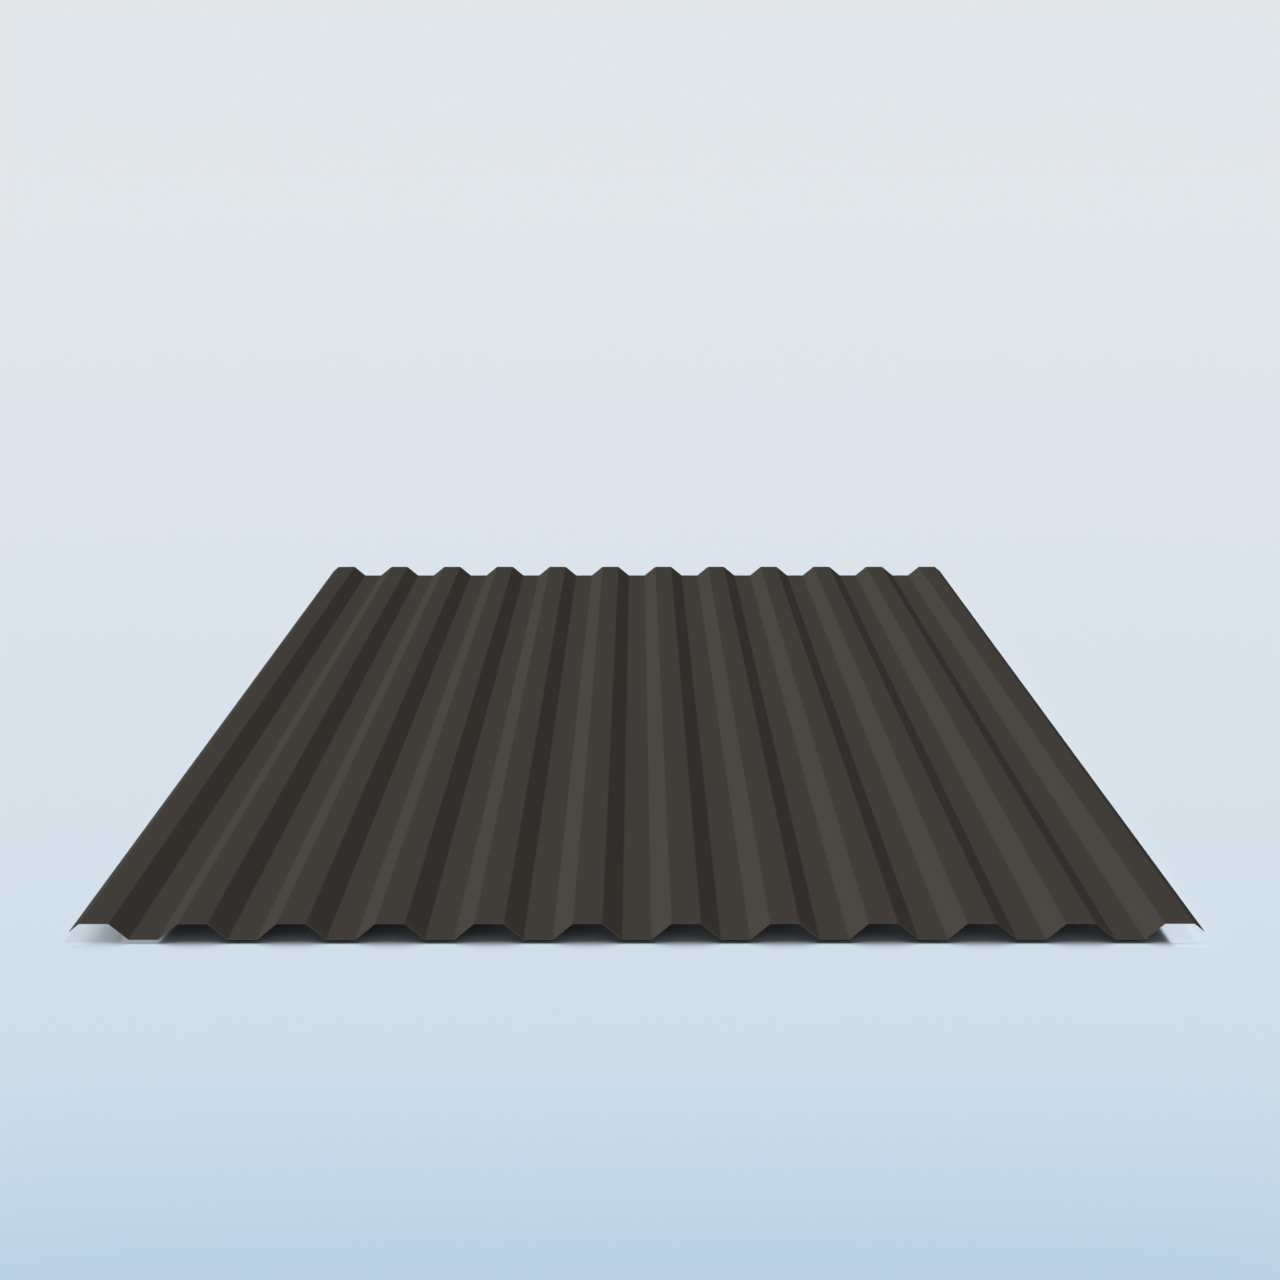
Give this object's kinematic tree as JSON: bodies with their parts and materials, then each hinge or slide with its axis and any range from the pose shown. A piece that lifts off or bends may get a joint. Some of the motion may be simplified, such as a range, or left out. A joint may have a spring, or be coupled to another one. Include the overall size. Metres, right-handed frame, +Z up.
{
  "type": "trapezoidal metal sheet",
  "caption": "Profiled steel sheet with straight trapezoidal ribs along its whole length, a short down-turned lip on each side and a matt dark brown painted face.",
  "frame": {"origin": "middle of the sheet's width and length, level with the underside of the valleys, which the sheet lies on", "axes": "+X across the ribs, +Y along the ribs, +Z up, out of the weather side"},
  "size_m": [1.1504, 2.5, 0.017],
  "materials": {
    "painted_steel": "matte"
  },
  "bodies": {
    "root": {"trapezoidal_sheet": "painted_steel"}
  },
  "joints": []
}
